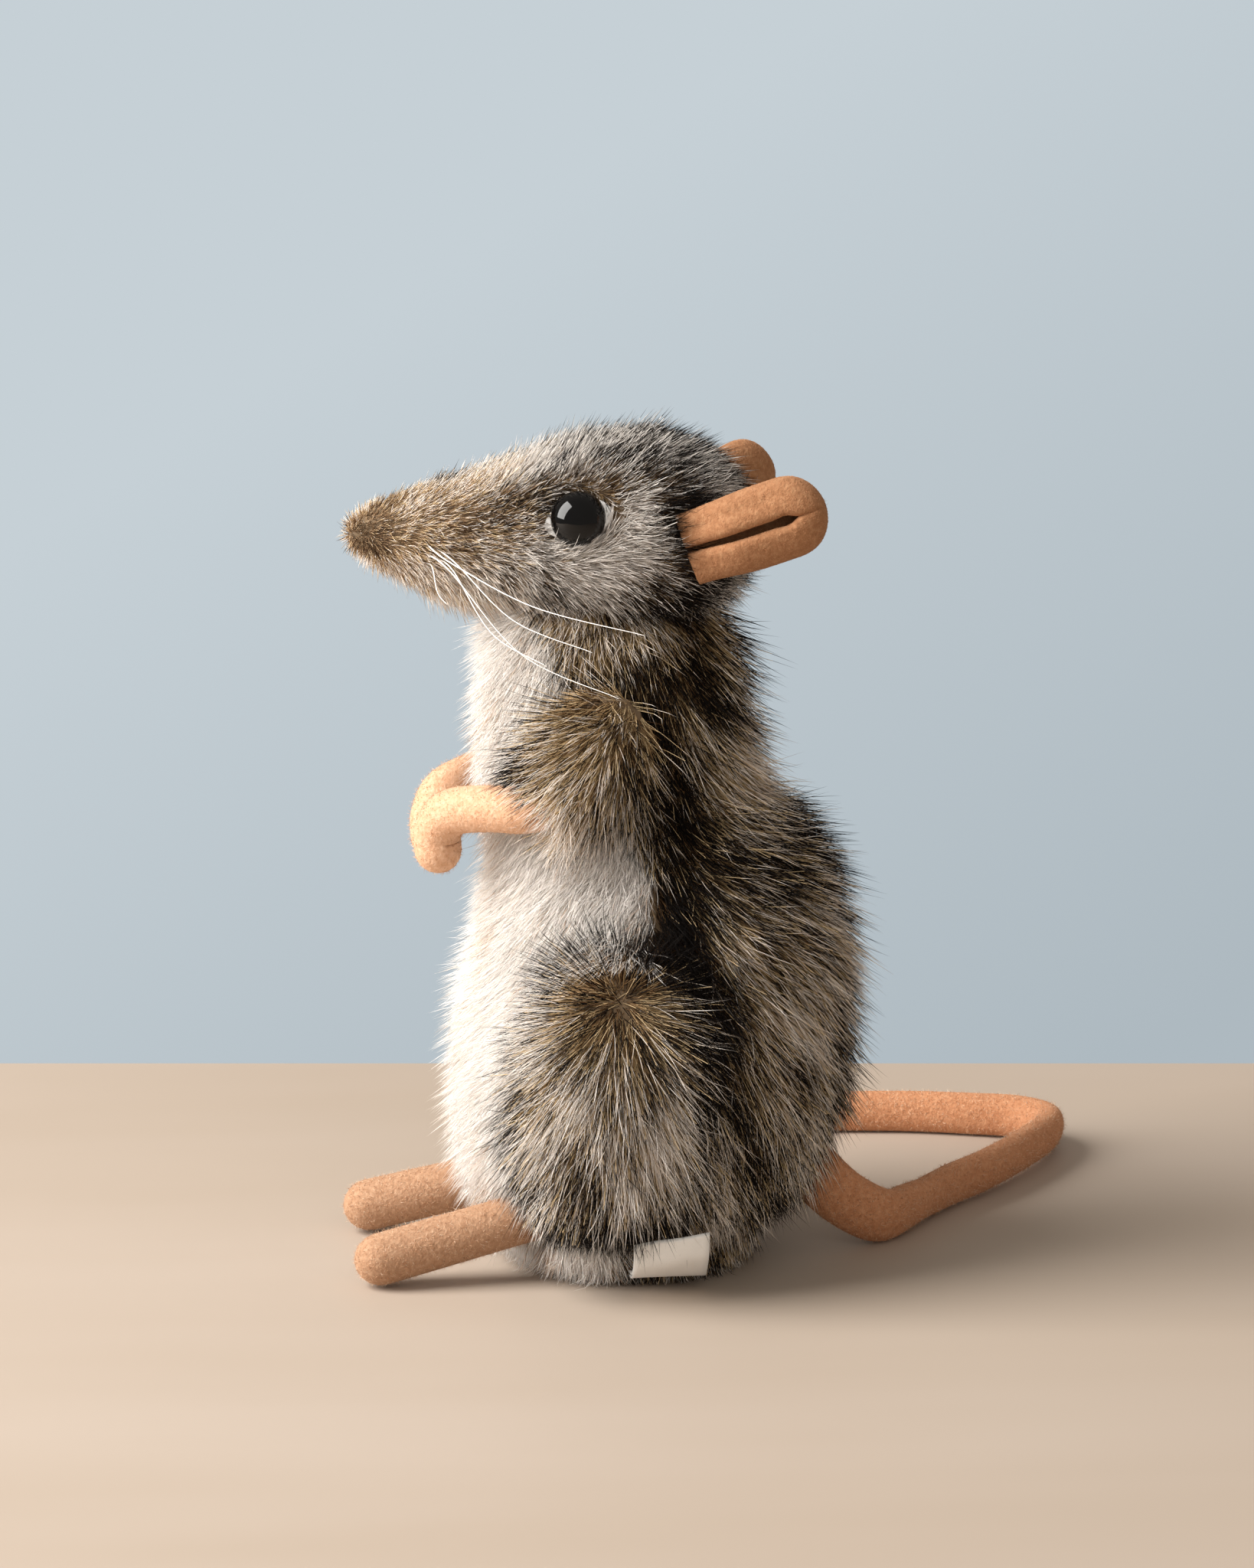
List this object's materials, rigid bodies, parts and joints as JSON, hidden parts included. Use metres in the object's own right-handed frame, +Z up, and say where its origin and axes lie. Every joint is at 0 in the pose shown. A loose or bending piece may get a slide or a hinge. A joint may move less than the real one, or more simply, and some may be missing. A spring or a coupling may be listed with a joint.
{
  "type": "sitting plush mouse",
  "caption": "Stuffed toy mouse that sits upright, in mottled faux fur with a cream belly, felt paws, feet, folded ears and a long bent felt tail.",
  "frame": {"origin": "on the flat underside of the base panel, below the middle of the body", "axes": "+Z up, the mouse faces -Y, its left side is at +X"},
  "size_m": [0.148, 0.1613, 0.1744],
  "materials": {
    "agouti_pile": "long pile faux fur, cream roots and dark tips",
    "muzzle_pile": "short brown pile",
    "cream_pile": "long cream pile faux fur",
    "base_cloth": "short woven pile",
    "tan_felt": "brushed felt",
    "white_felt": "felt",
    "fibre_fill": "polyester fibre fill",
    "pouch_cloth": "woven pouch with plastic pellets",
    "label_satin": "satin ribbon",
    "black_eye": "gloss",
    "washer_plastic": "matte",
    "whisker_nylon": "nylon monofilament"
  },
  "bodies": {
    "torso": {"back_panel_left": "agouti_pile", "back_panel_right": "agouti_pile", "belly_panel": "cream_pile", "base_panel": "base_cloth", "body_stuffing": "fibre_fill", "pellet_pouch": "pouch_cloth", "thigh_left": "agouti_pile", "thigh_right": "agouti_pile", "thigh_stuffing_left": "fibre_fill", "thigh_stuffing_right": "fibre_fill", "sewn_label": "label_satin"},
    "head": {"head_panel_left": "agouti_pile", "head_panel_right": "agouti_pile", "crown_gusset": "muzzle_pile", "chin_panel": "cream_pile", "head_stuffing": "fibre_fill", "eye_left": "black_eye", "eye_right": "black_eye", "eye_backing_left": "white_felt", "eye_backing_right": "white_felt", "eye_washer_left": "washer_plastic", "eye_washer_right": "washer_plastic", "whisker_1_left": "whisker_nylon", "whisker_1_right": "whisker_nylon", "whisker_2_left": "whisker_nylon", "whisker_2_right": "whisker_nylon", "whisker_3_left": "whisker_nylon", "whisker_3_right": "whisker_nylon", "whisker_4_left": "whisker_nylon", "whisker_4_right": "whisker_nylon", "whisker_5_left": "whisker_nylon", "whisker_5_right": "whisker_nylon"},
    "left_ear": {"ear_left": "tan_felt"},
    "right_ear": {"ear_right": "tan_felt"},
    "left_arm": {"upper_arm_left": "agouti_pile", "upper_arm_stuffing_left": "fibre_fill", "forepaw_left": "tan_felt", "forepaw_stuffing_left": "fibre_fill"},
    "right_arm": {"upper_arm_right": "agouti_pile", "upper_arm_stuffing_right": "fibre_fill", "forepaw_right": "tan_felt", "forepaw_stuffing_right": "fibre_fill"},
    "left_foot": {"hind_foot_left": "tan_felt", "hind_foot_stuffing_left": "fibre_fill"},
    "right_foot": {"hind_foot_right": "tan_felt", "hind_foot_stuffing_right": "fibre_fill"},
    "tail": {"tail": "tan_felt", "tail_stuffing": "fibre_fill"}
  },
  "joints": [
    {"name": "head_nod", "type": "hinge", "parent": "torso", "child": "head", "pos_m": [0, -0.009, 0.125], "axis": [1, 0, 0], "range_deg": [-12, 12], "stiffness_Nm_per_rad": 0.3},
    {"name": "left_ear_flap", "type": "hinge", "parent": "head", "child": "left_ear", "pos_m": [0.0225, 0.008, 0.154], "axis": [0, 0, -1], "range_deg": [0, 30], "stiffness_Nm_per_rad": 0.01},
    {"name": "right_ear_flap", "type": "hinge", "parent": "head", "child": "right_ear", "pos_m": [-0.0225, 0.008, 0.154], "axis": [0, 0, 1], "range_deg": [-30, 0], "stiffness_Nm_per_rad": 0.01},
    {"name": "left_arm_raise", "type": "hinge", "parent": "torso", "child": "left_arm", "pos_m": [0.02, -0.01, 0.116], "axis": [-1, 0, 0], "range_deg": [0, 25], "stiffness_Nm_per_rad": 0.05},
    {"name": "right_arm_raise", "type": "hinge", "parent": "torso", "child": "right_arm", "pos_m": [-0.02, -0.01, 0.116], "axis": [-1, 0, 0], "range_deg": [0, 25], "stiffness_Nm_per_rad": 0.05},
    {"name": "left_foot_lift", "type": "hinge", "parent": "torso", "child": "left_foot", "pos_m": [0.018, -0.026, 0.0135], "axis": [-1, 0, 0], "range_deg": [0, 25], "stiffness_Nm_per_rad": 0.03},
    {"name": "right_foot_lift", "type": "hinge", "parent": "torso", "child": "right_foot", "pos_m": [-0.018, -0.026, 0.0135], "axis": [-1, 0, 0], "range_deg": [0, 25], "stiffness_Nm_per_rad": 0.03},
    {"name": "tail_swing", "type": "hinge", "parent": "torso", "child": "tail", "pos_m": [0, 0.033, 0.018], "axis": [0, 0, 1], "range_deg": [-15, 15], "stiffness_Nm_per_rad": 0.02}
  ]
}
